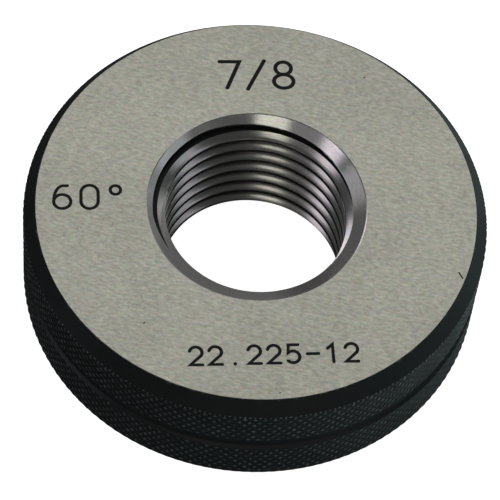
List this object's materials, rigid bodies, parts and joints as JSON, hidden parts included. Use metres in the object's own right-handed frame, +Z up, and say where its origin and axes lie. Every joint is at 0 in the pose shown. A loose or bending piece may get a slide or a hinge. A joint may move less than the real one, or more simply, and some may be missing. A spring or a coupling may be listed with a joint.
{
  "type": "thread ring gauge",
  "caption": "Solid ring gauge with a fine internal thread through it, chamfered rim and knurled grip bands, for checking the size of an external thread.",
  "frame": {"origin": "centre of the underside, on the thread axis", "axes": "+Z up along the thread axis, from the underside to the upper face; +X and +Y lie in the underside, +X to the right of a reader who faces the upper face's lettering from -Y"},
  "size_m": [0.0515, 0.0514, 0.016],
  "materials": {
    "steel": "hardened tool steel: ground upper face and underside, black oxide on the knurled rim, lapped thread"
  },
  "bodies": {
    "root": {"gauge_ring": "steel"}
  },
  "joints": []
}
